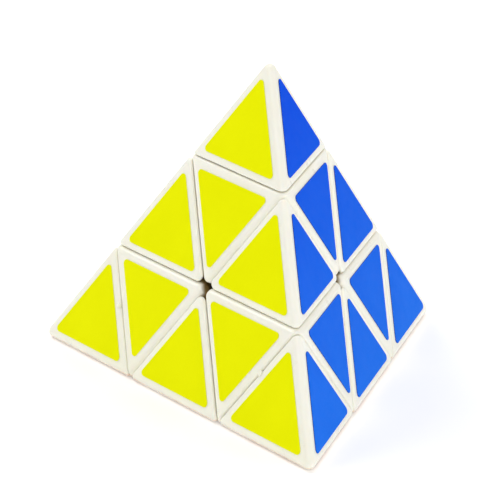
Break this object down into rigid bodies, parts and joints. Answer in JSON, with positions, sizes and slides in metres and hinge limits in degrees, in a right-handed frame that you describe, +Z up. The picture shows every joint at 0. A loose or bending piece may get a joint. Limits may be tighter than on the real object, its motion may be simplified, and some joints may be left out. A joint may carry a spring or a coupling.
{
  "type": "pyramid twisty puzzle",
  "caption": "Tetrahedral twisty puzzle of warm white blocks with coloured triangular stickers; its layers and tips turn about a sprung core.",
  "frame": {"origin": "centre of the core, where the four turning axes meet", "axes": "+Z up through the top vertex, the yellow face looks along -Y, +X to its right"},
  "size_m": [0.093, 0.0809, 0.0766],
  "materials": {
    "block_plastic": "satin moulded plastic, warm white",
    "foot_plastic": "satin moulded plastic, warm white, lubricated",
    "core_plastic": "satin moulded plastic",
    "sticker_yellow": "satin vinyl film",
    "sticker_blue": "satin vinyl film",
    "sticker_green": "satin vinyl film",
    "sticker_red": "satin vinyl film",
    "screw_steel": "zinc plated steel",
    "spring_steel": "drawn spring wire"
  },
  "bodies": {
    "core": {"core": "core_plastic", "axle_screws": "screw_steel", "spring_washers": "screw_steel", "tension_springs": "spring_steel"},
    "corner_top": {"corner_block_top": "block_plastic", "sticker_blue_corner_top": "sticker_blue", "sticker_green_corner_top": "sticker_green", "sticker_yellow_corner_top": "sticker_yellow"},
    "corner_left": {"corner_block_left": "block_plastic", "sticker_red_corner_left": "sticker_red", "sticker_green_corner_left": "sticker_green", "sticker_yellow_corner_left": "sticker_yellow"},
    "corner_right": {"corner_block_right": "block_plastic", "sticker_red_corner_right": "sticker_red", "sticker_blue_corner_right": "sticker_blue", "sticker_yellow_corner_right": "sticker_yellow"},
    "corner_back": {"corner_block_back": "block_plastic", "sticker_red_corner_back": "sticker_red", "sticker_blue_corner_back": "sticker_blue", "sticker_green_corner_back": "sticker_green"},
    "tip_top": {"tip_top": "block_plastic", "sticker_blue_tip_top": "sticker_blue", "sticker_green_tip_top": "sticker_green", "sticker_yellow_tip_top": "sticker_yellow"},
    "tip_left": {"tip_left": "block_plastic", "sticker_red_tip_left": "sticker_red", "sticker_green_tip_left": "sticker_green", "sticker_yellow_tip_left": "sticker_yellow"},
    "tip_right": {"tip_right": "block_plastic", "sticker_red_tip_right": "sticker_red", "sticker_blue_tip_right": "sticker_blue", "sticker_yellow_tip_right": "sticker_yellow"},
    "tip_back": {"tip_back": "block_plastic", "sticker_red_tip_back": "sticker_red", "sticker_blue_tip_back": "sticker_blue", "sticker_green_tip_back": "sticker_green"},
    "edge_top_left": {"edge_shell_top_left": "block_plastic", "edge_foot_top_left": "foot_plastic", "sticker_green_edge_top_left": "sticker_green", "sticker_yellow_edge_top_left": "sticker_yellow"},
    "edge_top_right": {"edge_shell_top_right": "block_plastic", "edge_foot_top_right": "foot_plastic", "sticker_blue_edge_top_right": "sticker_blue", "sticker_yellow_edge_top_right": "sticker_yellow"},
    "edge_top_back": {"edge_shell_top_back": "block_plastic", "edge_foot_top_back": "foot_plastic", "sticker_blue_edge_top_back": "sticker_blue", "sticker_green_edge_top_back": "sticker_green"},
    "edge_left_right": {"edge_shell_left_right": "block_plastic", "edge_foot_left_right": "foot_plastic", "sticker_red_edge_left_right": "sticker_red", "sticker_yellow_edge_left_right": "sticker_yellow"},
    "edge_right_back": {"edge_shell_right_back": "block_plastic", "edge_foot_right_back": "foot_plastic", "sticker_red_edge_right_back": "sticker_red", "sticker_blue_edge_right_back": "sticker_blue"},
    "edge_left_back": {"edge_shell_left_back": "block_plastic", "edge_foot_left_back": "foot_plastic", "sticker_red_edge_left_back": "sticker_red", "sticker_green_edge_left_back": "sticker_green"}
  },
  "joints": [
    {"name": "layer_top", "type": "hinge", "parent": "core", "child": "corner_top", "pos_m": [0, 0, 0], "axis": [0, 0, 1], "continuous": true},
    {"name": "layer_left", "type": "hinge", "parent": "core", "child": "corner_left", "pos_m": [0, 0, 0], "axis": [-0.8165, -0.4714, -0.3333], "range_deg": [-360, 360]},
    {"name": "layer_right", "type": "hinge", "parent": "core", "child": "corner_right", "pos_m": [0, 0, 0], "axis": [0.8165, -0.4714, -0.3333], "range_deg": [-360, 360]},
    {"name": "layer_back", "type": "hinge", "parent": "core", "child": "corner_back", "pos_m": [0, 0, 0], "axis": [0, 0.9428, -0.3333], "range_deg": [-360, 360]},
    {"name": "tip_top", "type": "hinge", "parent": "corner_top", "child": "tip_top", "pos_m": [0, 0, 0], "axis": [0, 0, 1], "continuous": true},
    {"name": "tip_left", "type": "hinge", "parent": "corner_left", "child": "tip_left", "pos_m": [0, 0, 0], "axis": [-0.8165, -0.4714, -0.3333], "continuous": true},
    {"name": "tip_right", "type": "hinge", "parent": "corner_right", "child": "tip_right", "pos_m": [0, 0, 0], "axis": [0.8165, -0.4714, -0.3333], "continuous": true},
    {"name": "tip_back", "type": "hinge", "parent": "corner_back", "child": "tip_back", "pos_m": [0, 0, 0], "axis": [0, 0.9428, -0.3333], "continuous": true},
    {"name": "edge_top_left_with_left", "type": "hinge", "parent": "corner_top", "child": "edge_top_left", "pos_m": [0, 0, 0], "axis": [-0.8165, -0.4714, -0.3333], "range_deg": [-360, 360]},
    {"name": "edge_top_right_with_right", "type": "hinge", "parent": "corner_top", "child": "edge_top_right", "pos_m": [0, 0, 0], "axis": [0.8165, -0.4714, -0.3333], "range_deg": [-360, 360]},
    {"name": "edge_top_back_with_back", "type": "hinge", "parent": "corner_top", "child": "edge_top_back", "pos_m": [0, 0, 0], "axis": [0, 0.9428, -0.3333], "range_deg": [-360, 360]},
    {"name": "edge_left_right_with_right", "type": "hinge", "parent": "corner_left", "child": "edge_left_right", "pos_m": [0, 0, 0], "axis": [0.8165, -0.4714, -0.3333], "range_deg": [-360, 360]},
    {"name": "edge_right_back_with_back", "type": "hinge", "parent": "corner_right", "child": "edge_right_back", "pos_m": [0, 0, 0], "axis": [0, 0.9428, -0.3333], "range_deg": [-360, 360]},
    {"name": "edge_left_back_with_back", "type": "hinge", "parent": "corner_left", "child": "edge_left_back", "pos_m": [0, 0, 0], "axis": [0, 0.9428, -0.3333], "range_deg": [-360, 360]}
  ],
  "couplings": [
    {"joint": "edge_top_left_with_left", "follows": "layer_left", "ratio": 1},
    {"joint": "edge_top_right_with_right", "follows": "layer_right", "ratio": 1},
    {"joint": "edge_top_back_with_back", "follows": "layer_back", "ratio": 1},
    {"joint": "edge_left_right_with_right", "follows": "layer_right", "ratio": 1},
    {"joint": "edge_right_back_with_back", "follows": "layer_back", "ratio": 1},
    {"joint": "edge_left_back_with_back", "follows": "layer_back", "ratio": 1}
  ]
}
